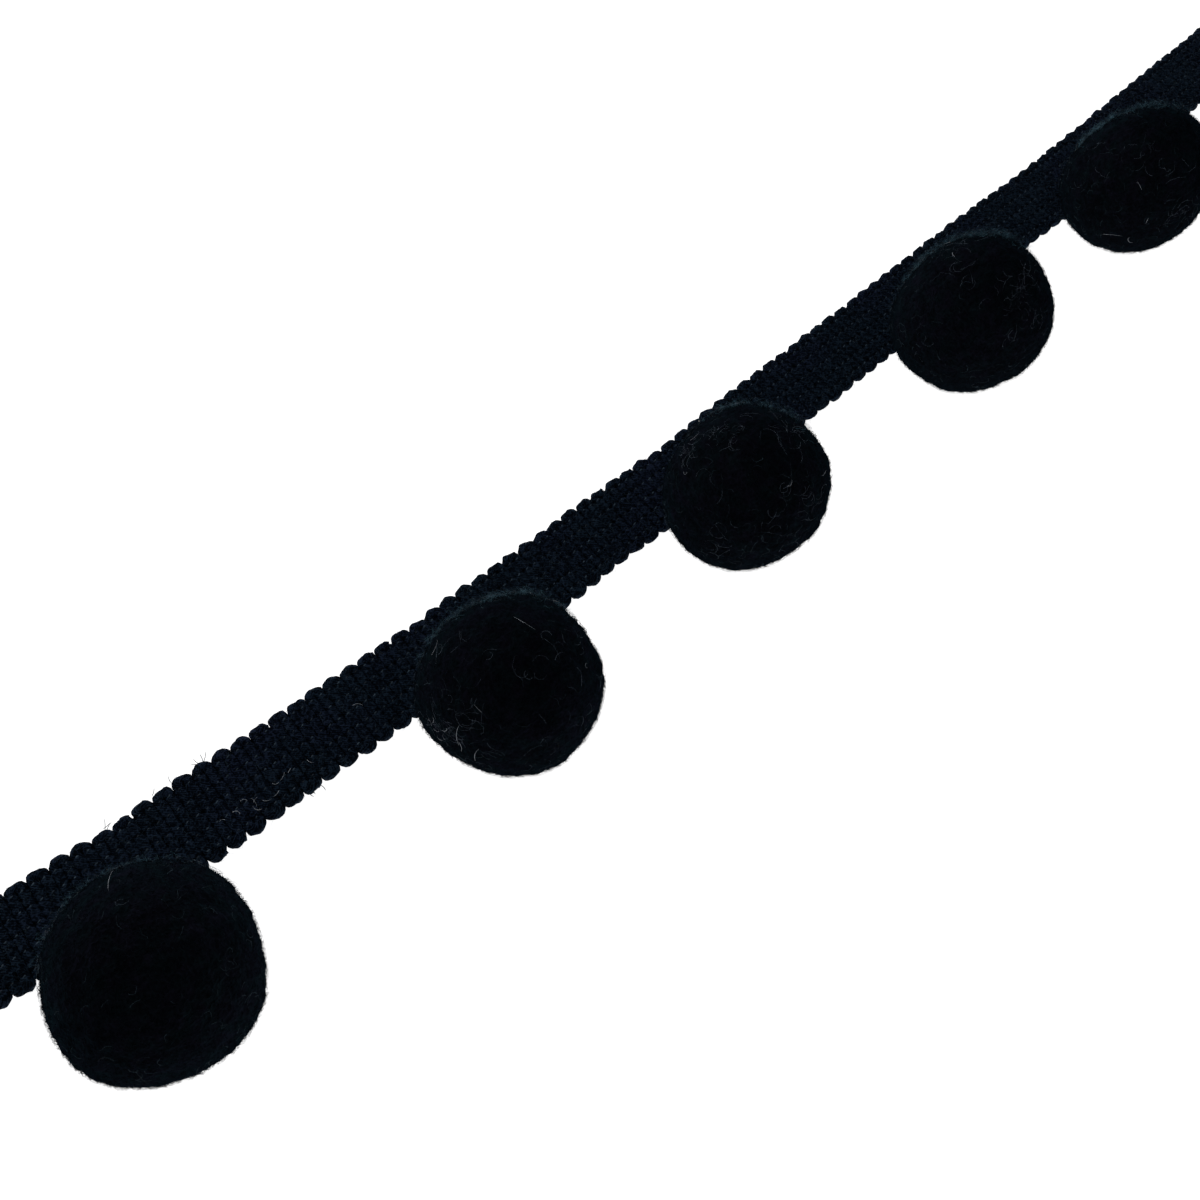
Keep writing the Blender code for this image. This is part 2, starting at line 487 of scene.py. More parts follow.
def make_thread():
    material, bench, shader, place = new_finish("binding_thread", 0.5, 0.12)
    tone = (bench.noise(place, 600.0, 2.0) * 3.2 - 1.2).clamped()
    feed_all(shader, {
        "Base Color": between(bench, tone, THREAD_DARK, THREAD_LIGHT),
        "Roughness": 0.3 + 0.25 * bench.noise(place, 400.0)})
    return material


thread = make_thread()

# %% Pile
PILE_DARK = (0.0021, 0.0022, 0.0034)
PILE_TEAL = (0.0048, 0.0086, 0.0112)
PILE_VIOLET = (0.0070, 0.0068, 0.0125)
PILE_SHEEN = (0.15, 0.70, 1.0, 1.0)
BALL_HALF = 12.5 * MM
FAR_SHADE_FADE = 120.0 * MM
FAR_PAINTED_SHADE = 0.4


def make_pile():
    material, bench, shader, place = new_finish("cut_pile", 1.0, 0.0, 0.015, PILE_SHEEN)
    felt = tangle(bench, place, 900.0, 12.0) + tangle(bench, place + 0.3, 1500.0, 8.0) * 0.7
    patches = bench.noise(place, 300.0, 3.0)
    flecks = bench.noise(place + 0.5, 2600.0, 1.0) - 0.5
    # Painted shade: the pile is darkened low on each ball, more so the farther along +X the ball stands, for
    # the shade that falls there.
    low = (1.6 - place.axis("Z") / BALL_HALF).clamped()
    far = (place.axis("X") / FAR_SHADE_FADE + 0.9).clamped()
    tone = (patches - 0.3 + felt * 0.35 + flecks - low * far * FAR_PAINTED_SHADE).clamped()
    hue = (bench.noise(place + 0.7, 500.0, 1.0) * 4.0 - 1.5).clamped()
    light = between(bench, hue, PILE_TEAL, PILE_VIOLET)
    feed(shader.inputs["Base Color"], between(bench, tone, PILE_DARK, light))
    raised(bench, shader, felt)
    return material


pile = make_pile()

# %% Loose hair, and the lint that has settled on the trim
HAIR_DARK = (0.004, 0.008, 0.011)
HAIR_LIGHT = (0.070, 0.110, 0.140)
# Painted light: the hairs of the rubbed band are a paler teal than the loose ones, for the light that shines
# through them from behind.
RUBBED_BACKLIT_DARK = (0.006, 0.020, 0.032)
RUBBED_BACKLIT_LIGHT = (0.080, 0.175, 0.230)
CURL_DARK = (0.012, 0.020, 0.030)
CURL_LIGHT = (0.210, 0.260, 0.330)
LINT_DARK = (0.15, 0.17, 0.20)
LINT_LIGHT = (0.80, 0.86, 0.95)


def make_hair(name, dark, light, change=4.0, middle=0.3):
    """A hair's finish. Its tone changes along it, round a middle between dark and light, partly at random and
    partly as painted highlights on stretches that would catch the light.
    """
    material, bench, shader, place = new_finish(name, 0.6, 0.05)
    # Partly random tone and partly painted highlight: the pale stretches stand for parts of the hair that
    # catch the light.
    tone = ((bench.noise(place, 500.0, 2.0) - 0.5) * change + middle).clamped()
    feed(shader.inputs["Base Color"], between(bench, tone, dark, light))
    return material


hair = make_hair("loose_hair", HAIR_DARK, HAIR_LIGHT)
rubbed_backlit_hair = make_hair("rubbed_backlit_hair", RUBBED_BACKLIT_DARK, RUBBED_BACKLIT_LIGHT, 6.0, 0.2)
pale_curl = make_hair("pale_curl", CURL_DARK, CURL_LIGHT, 3.0, 0.45)
lint = make_hair("pale_lint", LINT_DARK, LINT_LIGHT, 3.0, 0.6)

# %% [markdown]
# ## The line the tape follows
#
# The tape lies nearly straight, and its near end still holds a little of the curl that it had
# on its card, so it stands a few millimetres off the board. The stops are the same as the
# solid's, and a smooth curve passes through them.

# %% Stops and the curve through them
ROUTE_MM = (
    (-147.0, 12.9, 6.2), (-119.0, 11.0, 4.2), (-94.0, 9.9, 2.6), (-69.0, 8.8, 1.4),
    (-44.0, 8.2, 0.4), (-19.0, 7.8, 0.0), (6.0, 7.6, 0.0), (37.0, 7.5, 0.0),
    (62.0, 7.6, 0.0), (87.0, 7.2, 0.0), (112.0, 7.8, 0.0), (147.2, 8.7, 0.0),
)
STEPS_PER_SPAN = 24


def route_points():
    """Close points along the middle of the tape's underside."""
    stops = [Vector(stop) * MM for stop in ROUTE_MM]
    stops = [2 * stops[0] - stops[1]] + stops + [2 * stops[-1] - stops[-2]]
    points = []
    for before, start, end, after in zip(stops, stops[1:], stops[2:], stops[3:]):
        for step in range(STEPS_PER_SPAN):
            share = step / STEPS_PER_SPAN
            linear = (end - before) * share
            square = (2 * before - 5 * start + 4 * end - after) * share ** 2
            cube = (3 * start - before - 3 * end + after) * share ** 3
            point = start + 0.5 * (linear + square + cube)
            point.z = max(point.z, 0.0)
            points.append(point)
    points.append(stops[-2])
    return points


route = route_points()
route_mesh = bpy.data.meshes.new("route")
route_mesh.from_pydata(route, [(i, i + 1) for i in range(len(route) - 1)], [])

# %% [markdown]
# ## Ground of the tape
#
# Under its ribs a tape has a layer of lengthwise threads that hardly shows. It is a thin band
# along the route, with square edges hidden in the yarn.

# %% Sweep the ground along the route
GROUND_WIDTH = 10.4 * MM
GROUND_THICKNESS = 0.5 * MM
YARN_HEIGHT = 0.88 * MM


def ground_recipe():
    sizes = {"Width": GROUND_WIDTH, "Thickness": GROUND_THICKNESS, "Height": YARN_HEIGHT}
    bench, given = start_recipe("ground", sizes)
    line = upright(bench, as_curve(bench, given["Geometry"]))
    line = moved(bench, line, bench.point(z=given["Height"]))
    band = bench.add("GeometryNodeCurvePrimitiveQuadrilateral", {}, {
        "Width": given["Width"], "Height": given["Thickness"]})
    return close_recipe(bench, sweep(bench, line, band), yarn)


ground = run_recipe("tape_ground", ground_recipe(), route_mesh)

# %% [markdown]
# ## Ribs and scallops
#
# One thick yarn runs back and forth across the tape. Each pass is a rib, and each turn at an
# edge is a scallop. It could be modelled as one rib repeated by an array, but then the plies
# would not run on from rib to rib and every scallop would be the same. So a Geometry Nodes
# tree works out the yarn's whole path from two rules, how far across and how far along it is
# at each step. The yarn is four plies twisted together: a round profile with four bulges, and
# a tilt that grows with the length. In a few places the weave is drawn in or let out by about
# half a millimetre, which a short table says. Its last row is the edge drawn out to the pompoms.

# %% Where the tape is drawn in or let out: along (mm), side, outwards (mm), reach (mm)
EDGE_SHIFTS = (
    (34, 1, -0.5, 2.5), (85, 1, -0.4, 2.5), (136, 1, -0.6, 7), (46, -1, 0.5, 8), (117, -1, -0.45, 10),
    (16, -1, 0.52, 10), (14, 1, 0.25, 10),
    (86, -1, 0.3, 3), (134, -1, 0.3, 3), (187, -1, 0.5, 3), (232, -1, 0.5, 3),
)


def edge_shift(along, across):
    """How far the yarn is moved across here. Only the outer half of each side moves."""
    shift = 0.0
    for place, side, out, reach in EDGE_SHIFTS:
        far = (along / MM - place) / reach
        outer = ((across / MM * side - 2.0) / 3.0).clamped()
        shift = outer * (far * far * -1.0).call("EXPONENT") * (out * side * MM) + shift
    return shift


print(len(EDGE_SHIFTS), "places where the tape is drawn in or let out")

# %% A place on the tape from lengths along, across and up
def on_tape(bench, route_curve, along, across, height):
    """The point that is so far along the route, across it and above it."""
    across = across + edge_shift(along, across)
    spot = bench.add("GeometryNodeSampleCurve", {"mode": "LENGTH"}, {
        "Curves": route_curve, "Length": along}, "Position")
    ahead = spot.other("Tangent")
    side = bench.point(z=1.0).call("CROSS_PRODUCT", ahead).call("NORMALIZE")
    above = ahead.call("CROSS_PRODUCT", side)
    return spot + side * across + above * height


print("middle of the tape's underside ends at", [round(c / MM, 1) for c in route[-1]])

# %% Sizes of the yarn
RIBS = 194
RIB_STEPS = 52
RIB_STRAIGHT = 0.77
RIB_UNEVEN = 0.42 * MM
RIB_DRIFT = 0.25 * MM
RIB_LIFT = 0.14 * MM
TURN_REACH = 5.84 * MM
TURN_HEIGHT = 0.45 * MM
TURN_LENGTH = 2.0 * MM
FREE_FROM = 5.0 * MM
FREE_FADE = 0.9 * MM
YARN_RADIUS = 0.83 * MM
YARN_TWIST = 5.0 * MM
PLIES = 4
PLY_POINTS = 3
ROW_GAP = 2.375 * MM
SQUARENESS = 11.0
WOOL_SIZE = 0.7 * MM
WOOL_RISE = 0.17 * MM
FULL_TURN = 2.0 * math.pi


# %% Draw the yarn together under the threads, and press it flat
def bunched(across):
    """Draw the steps of a rib together near the rows of binding thread, where it is pinched."""
    return across - (across * (FULL_TURN / ROW_GAP)).call("SINE") * (0.5 * ROW_GAP / FULL_TURN)


def pressed(bench, mesh):
    """Press the round yarn flat against its neighbours, inside the room that each rib has."""
    middle = stored(bench, "middle", "FLOAT_VECTOR")
    ahead = stored(bench, "ahead", "FLOAT_VECTOR")
    out = position(bench) - middle
    size = out.call("LENGTH")
    up = out.axis("Z").call("ABSOLUTE") / size
    level = (1.0 - up ** 2.0).call("MAXIMUM", 0.0) ** 0.5
    square = (up ** SQUARENESS + level ** SQUARENESS) ** (-1.0 / SQUARENESS) - 1.0
    grown = out * (1.0 + square * stored(bench, "rib")) * bench.point(1.0, 1.0, 0.95)
    wool = bench.noise(position(bench) / WOOL_SIZE, 1.0, 2.0) - 0.5
    grown = grown + out / size * (wool * 2.0 * WOOL_RISE)
    forward = grown.call("DOT_PRODUCT", ahead)
    room = forward.call("MAXIMUM", stored(bench, "behind")).call("MINIMUM", stored(bench, "before"))
    return placed(bench, mesh, middle + grown + ahead * (room - forward))


print(f"the yarn is pinched every {ROW_GAP / MM} mm across the tape")


# %% The path of the yarn
def yarn_path(bench, given):
    """Rib after rib, with what each point has to know about the yarn there kept on it."""
    route_curve = as_curve(bench, given["Geometry"])
    pitch = bench.add("GeometryNodeCurveLength", {}, {"Curve": route_curve}) / given["Ribs"]
    step = bench.add("GeometryNodeInputIndex") / given["Steps"] + given["First"]
    rib = step.call("FLOOR")
    share = step - rib
    sign = 1.0 - 2.0 * (rib % 2.0)
    turn = ((share - RIB_STRAIGHT) / (1.0 - RIB_STRAIGHT)).clamped() * math.pi
    cross = 1.0 - 2.0 * (share / RIB_STRAIGHT).clamped()
    edge = bunched(given["Reach"] - given["Turn"])
    line_across = bunched((given["Reach"] - given["Turn"]) * cross)
    along = pitch * (rib + 1.0 - 0.5 * turn.call("COSINE"))
    waver = bench.noise(bench.point(along / pitch * 0.7, sign * 0.5), 1.0, 1.0) - 0.5
    bow = given["Turn"] * turn.call("SINE") ** 0.8
    across = sign * (line_across + waver * 2.0 * given["Uneven"] * cross - bow)
    drift = bench.noise(bench.point(rib * 3.7, across / (4.0 * MM)), 1.0, 1.0) - 0.5
    lift = bench.noise(bench.point(rib * 5.3, across / (3.0 * MM), 9.0), 1.0, 1.0) - 0.5
    along = along + drift * RIB_DRIFT
    place = on_tape(bench, route_curve, along, across, given["Height"] + lift * RIB_LIFT)
    ahead = bench.add("GeometryNodeSampleCurve", {"mode": "LENGTH"}, {
        "Curves": route_curve, "Length": along}, "Tangent")
    cell = rib + (turn / math.pi).call("ROUND")
    outer = ((across.call("ABSOLUTE") - FREE_FROM) / FREE_FADE).clamped()
    reach = (rib * (edge * 2.0 + given["Turn Length"]) + edge - line_across
             + turn * given["Turn Length"] / math.pi)
    path = placed(bench, straight(bench, given["Laid"] * given["Steps"] + 1.0), place)
    notes = {
        "across": across, "reach": reach, "middle": place, "ahead": ahead,
        "behind": cell * pitch - along, "before": (cell + 1.0) * pitch - along, "rib": 1.0 - outer,
    }
    for name, value in notes.items():
        path = store(bench, path, name, value)
    return bench.add("GeometryNodeSetCurveTilt", {}, {
        "Curve": upright(bench, path), "Tilt": stored(bench, "reach") * -FULL_TURN / given["Twist"]})


print(f"the yarn's path has {RIBS * RIB_STEPS} steps")


# %% The plies of the yarn
def plied_ring(bench, given):
    """A circle with a bulge for each ply, which remembers the way round it."""
    ring = circle(bench, given["Plies"] * PLY_POINTS, 1.0)
    spot = position(bench)
    ring = store(bench, ring, "round", spot)
    bulge = (bench.add("GeometryNodeInputIndex") * (FULL_TURN / PLY_POINTS)).call("COSINE")
    return placed(bench, ring, spot * (given["Radius"] * (1.0 + given["Groove"] * bulge)))


def yarn_thickness(bench, given):
    """Thinner under each row of thread, and a little thicker where the yarn is free."""
    from_middle = stored(bench, "across").call("ABSOLUTE")
    row = (from_middle * (FULL_TURN / ROW_GAP)).call("COSINE").call("MAXIMUM", 0.0)
    return 1.0 - given["Pinch"] * row ** 8.0 + given["Swell"] * (1.0 - stored(bench, "rib"))


print(f"yarn of {PLIES} plies, {2 * YARN_RADIUS / MM:.2f} mm thick, one turn in {YARN_TWIST / MM} mm")


# %% Lay the yarn
def weft_recipe():
    sizes = {
        "First": 0, "Laid": float(RIBS), "Ribs": RIBS, "Steps": RIB_STEPS, "Reach": TURN_REACH,
        "Turn": TURN_HEIGHT, "Turn Length": TURN_LENGTH, "Radius": YARN_RADIUS,
        "Height": YARN_HEIGHT, "Twist": YARN_TWIST, "Plies": PLIES, "Pinch": 0.17, "Groove": 0.10,
        "Swell": 0.06, "Uneven": RIB_UNEVEN,
    }
    bench, given = start_recipe("weft", sizes)
    laid = sweep(bench, yarn_path(bench, given), plied_ring(bench, given), yarn_thickness(bench, given))
    laid = above_board(bench, pressed(bench, laid), BOARD_CLEARANCE)
    split = bench.add("GeometryNodeTriangulate", {"quad_method": "SHORTEST_DIAGONAL"}, {"Mesh": laid})
    return close_recipe(bench, split, yarn)


HALF = RIBS // 2
weft_tree = weft_recipe()
wefts = [
    run_recipe("tape_weft_1", weft_tree, route_mesh, {"First": 0, "Laid": float(HALF)}),
    run_recipe("tape_weft_2", weft_tree, route_mesh, {"First": HALF, "Laid": HALF - 1.0 + RIB_STRAIGHT}),
]

# %% [markdown]
# ## Binding threads
#
# Five rows of fine smooth thread hold the ribs together. In each row two threads go over and
# under the ribs in turn, one over where the other is under, and they swap sides between two
# ribs, so each rib carries one small slanted stitch. Each is a wave along the route that only
# just clears the yarn at its crests. Between the rows the yarn is left free.

# %% Weave the threads through the ribs
THREAD_ROWS = 5
THREAD_STEPS = 6
THREAD_RADIUS = 0.17 * MM
THREAD_WAVE = 0.70 * MM
THREAD_SLANT = 0.15 * MM
THREAD_WAVER = 0.16 * MM
THREAD_UNEVEN = 0.3


def thread_recipe():
    sizes = {
        "Ribs": RIBS, "Steps": THREAD_STEPS, "Rows": THREAD_ROWS, "Row Gap": ROW_GAP,
        "Radius": THREAD_RADIUS, "Wave": THREAD_WAVE, "Slant": THREAD_SLANT, "Height": YARN_HEIGHT,
    }
    bench, given = start_recipe("threads", sizes)
    route_curve = as_curve(bench, given["Geometry"])
    pitch = bench.add("GeometryNodeCurveLength", {}, {"Curve": route_curve}) / given["Ribs"]
    lines = bench.add("GeometryNodeDuplicateElements", {"domain": "SPLINE"}, {
        "Geometry": straight(bench, given["Ribs"] * given["Steps"] + 1.0), "Amount": given["Rows"] * 2.0})
    copy = lines.other("Duplicate Index")
    row = (copy * 0.5).call("FLOOR")
    side = 1.0 - 2.0 * (copy % 2.0)
    step = bench.add("GeometryNodeSplineParameter", output="Index") / given["Steps"]
    swing = (step * math.pi).call("SINE")
    catch = bench.noise(bench.point(step.call("FLOOR") * 3.3, copy * 7.0), 1.0, 1.0) - 0.5
    wave = swing * swing.call("ABSOLUTE") * side * (1.0 + catch * THREAD_UNEVEN)
    swap = (step * math.pi).call("COSINE") * side * given["Slant"]
    waver = bench.noise(bench.point(step * 0.4, copy * 7.0), 1.0, 2.0) - 0.5
    across = (row - 0.5 * (given["Rows"] - 1.0)) * given["Row Gap"] - swap
    place = on_tape(bench, route_curve, step * pitch, across + waver * THREAD_WAVER,
                    given["Height"] + wave * given["Wave"])
    paths = upright(bench, placed(bench, lines, place))
    swept = sweep(bench, paths, circle(bench, HAIR_SIDES, given["Radius"]))
    return close_recipe(bench, above_board(bench, swept, BOARD_CLEARANCE), thread)


threads = run_recipe("tape_threads", thread_recipe(), route_mesh)

# %% [markdown]
# ## Pompoms
#
# A pompom is a bundle of yarn, tied, cut and trimmed to a ball, and then its cut ends felt
# together. Close to, it is a ball of small domes, the cut ends of the yarns, under a short nap
# of fibres that lie in swirls. Long crimped hairs have worked loose all over it, pale curls have
# gathered in patches, and it is rubbed up in a narrow band where it meets the tape. Particle
# hair would not export, so each fibre is a thin three-sided spike and each hair a three-sided
# tube, placed on a lumpy ball by Geometry Nodes. The ball takes its middle and radius from the
# solid's box, so it sits on the same spot and leans on the tape in the same way. Scissors leave
# no true ball, so a table then presses it in or out, most of all on the side by the tape.

# %% The lumpy ball under the nap
FLAT_SPOT = 0.25 * MM
NAP_DEPTH = 0.28 * MM
SWELL = 0.40 * MM
TUFT_SIZE = 1.5 * MM
TUFT_RISE = 0.40 * MM
TUFT_BEND = 0.8 * MM
BALL_CLEARANCE = 0.1 * MM


def ball_recipe():
    sizes = {"Middle": (0.0, 0.0, 0.0), "Radius": 12.0 * MM, "Swell": SWELL, "Tuft": TUFT_RISE, "Seed": 0.0}
    bench, given = start_recipe("ball", sizes)
    ball = bench.add("GeometryNodeMeshIcoSphere", {}, {"Radius": given["Radius"], "Subdivisions": 6})
    spot = position(bench)
    place = spot + bench.point(given["Seed"])
    swell = bench.noise(place, 190.0, 2.0) - 0.5
    bent = place + (bench.noise(place, 500.0, 1.0, "Color") - 0.5) * TUFT_BEND
    tuft = bench.add("ShaderNodeTexVoronoi", {}, {"Vector": bent, "Scale": 1.0 / TUFT_SIZE})
    rise = swell * 2.0 * given["Swell"] + (0.4 - tuft) * given["Tuft"]
    ball = moved(bench, ball, spot.call("NORMALIZE") * rise + given["Middle"])
    return close_recipe(bench, above_board(bench, ball, BALL_CLEARANCE), pile)


print(f"cut ends of yarn, {TUFT_SIZE / MM} mm wide")

# %% Where each ball is out of round: direction and height (degrees), mm outwards
OUT_OF_ROUND = {
    1: ((-10, -10, -0.5), (165, 15, -0.6), (-70, -20, 0.45), (-115, -15, -0.25), (25, 0, 0.5),
        (85, 20, 0.5)),
    2: ((155, -5, 0.8), (75, 27, -0.9), (110, 15, -0.5), (-35, 0, 0.3), (-5, 10, -0.35),
        (-110, -20, 0.35), (-175, -15, -0.25)),
    3: ((-30, 20, 0.4), (100, 15, -0.8), (160, -20, 0.5), (-155, -35, 0.4), (-100, -25, -0.45)),
    4: ((55, 43, -1.3), (93, 23, -1.4), (113, 3, -1.0), (-20, 35, -0.6), (160, -35, 0.6),
        (-130, -40, 0.7), (-75, -5, 0.6)),
    5: ((70, 42, -1.0), (95, 18, -0.8), (145, -40, 0.5), (100, 10, -0.4), (-160, -50, 0.4),
        (-110, -35, 0.4)),
}
BULGE_TIGHTNESS = 8
print("places where a ball is pressed in or stands out:", [len(rows) for rows in OUT_OF_ROUND.values()])


def bearing(direction, height):
    """A unit vector, from its direction round a ball and its height above the ball's middle."""
    level, turned = math.cos(math.radians(height)), math.radians(direction)
    return Vector((level * math.cos(turned), level * math.sin(turned), math.sin(math.radians(height))))


def spots_on(number, table):
    """A pompom's rows of a table, as unit vectors and values."""
    return [(bearing(direction, height), value) for direction, height, value in table[number]]


def sum_near(spots, way, tightness):
    """The values of the spots, each fading with its angle to this way."""
    return sum(value * max(0.0, way.dot(spot)) ** tightness for spot, value in spots)


# %% Where pale curls have gathered: direction and height (degrees), how thickly
CURL_PATCHES = {
    1: ((120, 70, 0.1), (-80, 10, 0.1), (50, 55, 0.1), (-25, 20, 0.2), (115, 20, 0.7), (25, 0, 0.5),
        (75, 15, 0.4)),
    2: ((55, 20, 1.2), (10, 15, 1.6), (110, 15, 1.0), (130, 50, 1.0), (175, 25, 1.6), (-170, 20, 1.4),
        (-170, 45, 0.8), (-155, 35, 0.6), (-165, 80, 0.6), (-40, 65, 0.3), (-45, 35, 0.6),
        (-20, 50, 0.4), (-105, 60, 0.4), (-105, 10, 0.5), (-75, 15, 0.5)),
    3: ((5, 30, 1.4), (60, 30, 1.0), (80, 25, 0.8), (135, 40, 1.2), (125, 55, 0.8), (110, 75, 1.0),
        (-5, 70, 0.7), (-40, 65, 0.6), (-95, 50, 0.8), (-80, 30, 1.0), (-155, 35, 0.6), (-120, 35, 0.7),
        (-155, 10, 0.7), (-105, 15, 0.7)),
    4: ((100, 10, 0.8), (120, 65, 1.0), (160, 65, 0.6), (-90, 50, 1.4), (-120, 60, 0.8),
        (-110, 35, 0.8), (180, 10, 0.5), (-120, -15, 0.6), (-50, 60, 0.5)),
    5: ((100, 5, 0.8), (175, 45, 0.6), (-130, 45, 0.6), (-135, 25, 0.6), (-110, 15, 0.8),
        (160, 15, 0.5), (-160, 55, 0.6), (150, 35, 0.4)),
}
PATCH_TIGHTNESS = 60
print("patches of curls on each pompom:", [len(rows) for rows in CURL_PATCHES.values()])


def shape_core(mesh, number, middle):
    """Push a ball out of round, and mark on it how thickly pale curls grow."""
    bulges = spots_on(number, OUT_OF_ROUND)
    patches = spots_on(number, CURL_PATCHES)
    marks = mesh.attributes.new("curls", "FLOAT", "POINT")
    for point, mark in zip(mesh.vertices, marks.data):
        way = (point.co - middle).normalized()
        point.co += way * sum_near(bulges, way, BULGE_TIGHTNESS) * MM
        point.co.z = max(point.co.z, BALL_CLEARANCE)
        mark.value = sum_near(patches, way, PATCH_TIGHTNESS)


# %% Where fibres grow, and which way they lie
EVERYWHERE = {
    "Side": (0.0, 0.0, 1.0), "Base": 1.0, "Facing": 0.0, "Axis": (0.0, 0.0, 1.0), "Spread": 9.0,
}
LOW_SIDE = {"Side": (0.0, 0.0, -1.0), "Base": 1.15, "Facing": 1.0}
HIGH_SIDE = {"Side": (0.0, 0.0, 1.0), "Base": 0.1, "Facing": 1.2}
RUBBED_SPREAD = 0.32
SHORTEST = 0.5
LONGEST = 1.15
SECOND_DRAW = 100.0
print(f"a fibre has {SHORTEST} to {LONGEST} of its usual length")


def rubbed_arc(direction, height, reach, axis_direction, axis_height):
    """A narrow band square to an axis, thick at its middle and fading out at its reach (degrees)."""
    edge = math.cos(math.radians(reach))
    steep = 1.0 / (math.cos(math.radians(0.5 * reach)) - edge)
    return {"Side": bearing(direction, height), "Base": -edge * steep, "Facing": steep,
            "Axis": bearing(axis_direction, axis_height), "Spread": RUBBED_SPREAD}


def thickness(bench, given, out):
    """How thickly fibres grow, from 0 to 1, by the way that the surface faces."""
    side = (given["Base"] + given["Facing"] * out.call("DOT_PRODUCT", given["Side"])).clamped()
    off_band = out.call("DOT_PRODUCT", given["Axis"]).call("ABSOLUTE") / given["Spread"]
    return side * (1.0 - off_band).clamped()


def drawn(bench, low, high, seed, kind="FLOAT"):
    """A value that each fibre draws for itself."""
    return bench.add("FunctionNodeRandomValue", {"data_type": kind}, {
        "Min": low, "Max": high, "Seed": seed})


def lying(bench, given, out, place):
    """A direction along the surface, in swirls that neighbours share, and a fibre's own size."""
    stray = drawn(bench, (-1.0, -1.0, -1.0), (1.0, 1.0, 1.0), given["Seed"], "FLOAT_VECTOR")
    swirl = (bench.noise(place / given["Curl Size"], 1.0, 1.0, "Color") - 0.5) * given["Swirl"]
    along = stray + swirl
    along = (along - out * along.call("DOT_PRODUCT", out)).call("NORMALIZE")
    return along, drawn(bench, SHORTEST, LONGEST, given["Seed"])


# %% Nap: spikes that stand or lie on a surface
NAP_LIMIT = 30e6
NAP_ROOT = 0.1 * MM


def nap_recipe(name, material, with_ball):
    """Thin spikes on the guide, joined to the guide itself or on their own."""
    sizes = {
        "Middle": (0.0, 0.0, 0.0), "Gap": 0.31 * MM, "Length": 1.15 * MM, "Width": 0.045 * MM,
        "Rise": 0.5, "Swirl": 6.0, "Pull": 0.6 * MM, "Curl Size": 1.5 * MM, "Seed": 0,
        **EVERYWHERE,
    }
    bench, given = start_recipe(name, sizes)
    ball = given["Geometry"]
    place = position(bench)
    out = (place - given["Middle"]).call("NORMALIZE")
    spots = bench.add("GeometryNodeDistributePointsOnFaces", {"distribute_method": "POISSON"}, {
        "Mesh": ball, "Distance Min": given["Gap"], "Density Max": NAP_LIMIT,
        "Density Factor": thickness(bench, given, out), "Seed": given["Seed"]}, "Points")
    spike = bench.add("GeometryNodeMeshCone", {"fill_type": "NGON"}, {
        "Vertices": HAIR_SIDES, "Radius Top": 0.0, "Radius Bottom": given["Width"],
        "Depth": given["Length"]})
    spike = store(bench, spike, "tip", place.axis("Z") / given["Length"])
    along, size = lying(bench, given, out, place)
    turned = bench.add("FunctionNodeAlignRotationToVector", {"axis": "Z"}, {
        "Vector": along + out * given["Rise"]})
    fibres = bench.add("GeometryNodeInstanceOnPoints", {}, {
        "Points": moved(bench, spots, out * -NAP_ROOT), "Instance": spike, "Rotation": turned,
        "Scale": bench.point(1.0, 1.0, size)})
    fibres = bench.add("GeometryNodeRealizeInstances", {}, {"Geometry": fibres})
    pull = bench.noise(place / given["Curl Size"] + 5.0, 1.0, 1.0, "Color") - 0.5
    pull = pull - out * pull.call("DOT_PRODUCT", out)
    fibres = moved(bench, fibres, pull * (stored(bench, "tip") * given["Pull"]))
    fibres = above_board(bench, fibres, FIBRE_CLEARANCE)
    if with_ball:
        both = bench.add("GeometryNodeJoinGeometry", {}, {"Geometry": ball})
        feed(both.socket.node.inputs["Geometry"], fibres)
        fibres = both
    return close_recipe(bench, fibres, material)


print(f"spikes root {NAP_ROOT / MM} mm deep, and long hairs stand on a nap of {NAP_DEPTH / MM} mm")


# %% Roots of the loose hairs on any surface
def hair_roots(bench, given):
    """Points on the guide. Each keeps its own direction, length and bend for its whole hair."""
    place = position(bench)
    density = (given["Density"] * thickness(bench, given, bench.add("GeometryNodeInputNormal"))
               + given["Curls"] * stored(bench, "curls"))
    spots = bench.add("GeometryNodeDistributePointsOnFaces", {"distribute_method": "RANDOM"}, {
        "Mesh": given["Geometry"], "Seed": given["Seed"], "Density": density}, "Points")
    out = spots.other("Normal")
    ahead, size = lying(bench, given, out, place)
    bend = drawn(bench, given["Bend"] * -1.0, given["Bend"], given["Seed"] + SECOND_DRAW)
    spots = moved(bench, spots, out * given["Root"])
    notes = {"out": out, "ahead": ahead, "long": size * given["Length"], "bend": bend, "root": place}
    for name, value in notes.items():
        spots = store(bench, spots, name, value)
    return spots


# %% Crimped loose hairs that grow from them
def bent_hairs(bench, given, hairs):
    """Bend each hair to its arc, crimp it, and draw it down to its ball. Also how it tapers."""
    place = position(bench)
    share = bench.add("GeometryNodeSplineParameter", output="Factor")
    root, out = stored(bench, "root", "FLOAT_VECTOR"), stored(bench, "out", "FLOAT_VECTOR")
    ahead, bend, long = stored(bench, "ahead", "FLOAT_VECTOR"), stored(bench, "bend"), stored(bench, "long")
    turn = bend * share
    arc = ahead * turn.call("SINE") + out.call("CROSS_PRODUCT", ahead) * (1.0 - turn.call("COSINE"))
    hairs = placed(bench, hairs, root + arc * (long / bend) + out * (share * long * given["Rise"]))
    crimp = bench.noise(place / given["Curl Size"], 1.0, 2.0, "Color") - 0.5
    hairs = moved(bench, hairs, crimp * (share ** 0.5 * given["Crimp"]))
    held = place - given["Middle"]
    over = held.call("LENGTH") - (root - given["Middle"]).call("LENGTH")
    hairs = moved(bench, hairs, held.call("NORMALIZE") * (over * given["Hug"] * -1.0))
    return above_board(bench, hairs, FIBRE_CLEARANCE), 1.0 - 0.5 * share


